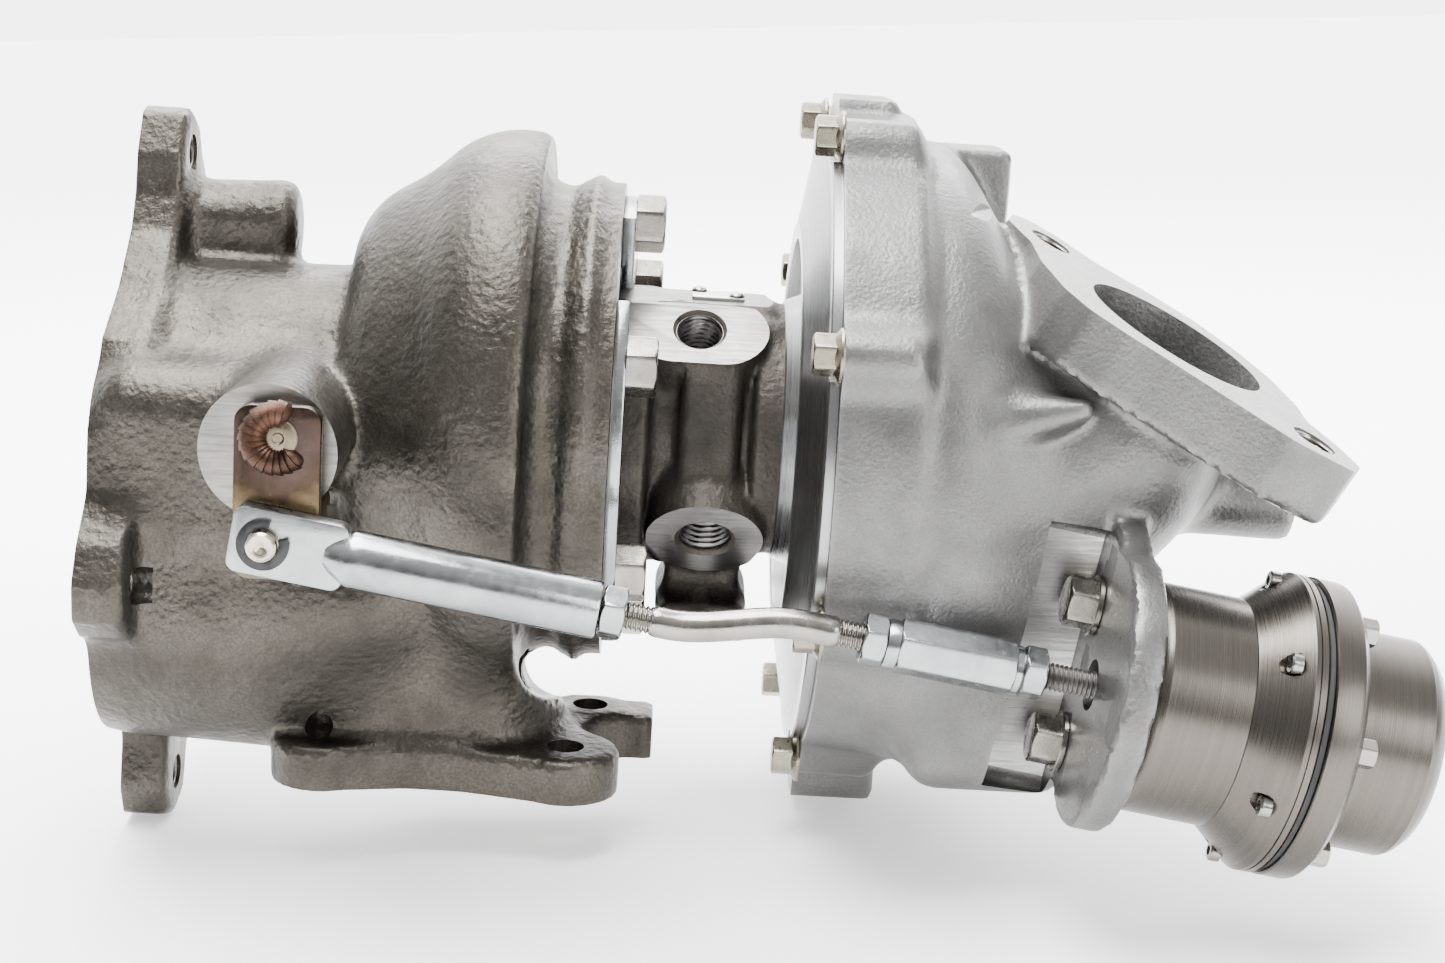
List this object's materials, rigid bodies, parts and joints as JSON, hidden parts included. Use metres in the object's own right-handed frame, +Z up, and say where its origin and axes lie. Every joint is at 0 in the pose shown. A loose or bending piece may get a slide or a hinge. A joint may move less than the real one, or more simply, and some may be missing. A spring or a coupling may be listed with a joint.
{
  "type": "turbocharger",
  "caption": "Exhaust-driven turbocharger with an iron turbine housing, a bearing housing, a cast compressor cover and a wastegate worked by a rod from a round actuator.",
  "frame": {"origin": "centre of the exhaust outlet's mouth, on the shaft axis, in the plane of the outlet flange's face", "axes": "+X along the shaft towards the compressor's air inlet, +Z up, -Y towards the wastegate linkage"},
  "size_m": [0.289, 0.1937, 0.1831],
  "materials": {
    "turbine_iron": "rough as-cast iron, darkened by heat",
    "centre_iron": "rough brown cast iron with machined pads",
    "cast_aluminium": "fine sand-cast silver grey",
    "machined_aluminium": "turned, fine rings",
    "bright_zinc": "bright zinc plate",
    "yellow_zinc": "yellow zinc plate",
    "stainless_steel": "polished stainless",
    "dark_steel": "dark oiled steel",
    "heat_tinted_steel": "heat-tinted steel",
    "weld_copper": "oxidised copper-coloured weld",
    "black_oxide": "black spring steel",
    "gunmetal_anodised": "gunmetal anodised, turned rings",
    "nameplate_aluminium": "blank plate",
    "wheel_alloy": "investment cast heat alloy",
    "bronze": "machined bearing bronze",
    "black_rubber": "matt black rubber"
  },
  "bodies": {
    "housing": {"turbine_housing": "turbine_iron", "turbine_clamp_plates": "bright_zinc", "turbine_bolts": "bright_zinc", "wastegate_bushing": "dark_steel", "center_housing": "centre_iron", "nameplate": "nameplate_aluminium", "nameplate_rivets": "nameplate_aluminium", "heat_shield": "stainless_steel", "bearing_snap_rings": "dark_steel", "thrust_bearing": "bronze", "seal_plate": "machined_aluminium", "piston_ring_turbine": "dark_steel", "piston_ring_compressor": "dark_steel", "compressor_backplate": "machined_aluminium", "backplate_bolts": "dark_steel", "backplate_o_ring": "black_rubber", "compressor_cover": "cast_aluminium", "compressor_outlet_flange": "cast_aluminium", "cover_bolts": "yellow_zinc", "outlet_thread_inserts": "stainless_steel", "actuator_body": "gunmetal_anodised", "actuator_ring_screws": "stainless_steel", "actuator_ring": "gunmetal_anodised", "diaphragm": "black_rubber", "actuator_cap": "gunmetal_anodised", "actuator_cap_screws": "stainless_steel", "actuator_spring": "dark_steel", "actuator_bolts": "bright_zinc", "actuator_washers": "bright_zinc"},
    "rotor": {"turbine_wheel_shaft": "wheel_alloy", "thrust_collar": "dark_steel", "oil_flinger": "dark_steel", "compressor_wheel": "machined_aluminium", "compressor_lock_nut": "dark_steel"},
    "bearings": {"journal_bearing_turbine": "bronze", "journal_bearing_compressor": "bronze"},
    "wastegate": {"wastegate_shaft": "heat_tinted_steel", "wastegate_flapper": "heat_tinted_steel", "flapper_washer": "heat_tinted_steel", "wastegate_lever": "heat_tinted_steel", "lever_weld": "weld_copper", "lever_pin": "stainless_steel", "e_clip": "black_oxide"},
    "link": {"rod_end_clevis": "bright_zinc", "jam_nut_clevis": "bright_zinc", "bent_link_rod": "stainless_steel", "jam_nut_front": "bright_zinc", "turnbuckle": "bright_zinc", "jam_nut_rear": "bright_zinc", "actuator_rod": "dark_steel", "actuator_piston": "bright_zinc"}
  },
  "joints": [
    {"name": "rotor_spin", "type": "hinge", "parent": "housing", "child": "rotor", "pos_m": [0.1, 0, 0], "axis": [1, 0, 0], "continuous": true},
    {"name": "bearing_spin", "type": "hinge", "parent": "housing", "child": "bearings", "pos_m": [0.13, 0, 0], "axis": [1, 0, 0], "continuous": true},
    {"name": "wastegate_swing", "type": "hinge", "parent": "housing", "child": "wastegate", "pos_m": [0.0476, -0.0782, 0.0076], "axis": [0, 1, 0], "range_deg": [0, 30], "stiffness_Nm_per_rad": 0.8},
    {"name": "rod_pivot", "type": "hinge", "parent": "wastegate", "child": "link", "pos_m": [0.0458, -0.084, -0.0135], "axis": [0, 1, 0], "range_deg": [-30, 0], "deforming": ["actuator_spring"]}
  ],
  "couplings": [
    {"joint": "bearing_spin", "follows": "rotor_spin", "ratio": 0.3},
    {"joint": "rod_pivot", "follows": "wastegate_swing", "ratio": -0.9815}
  ]
}
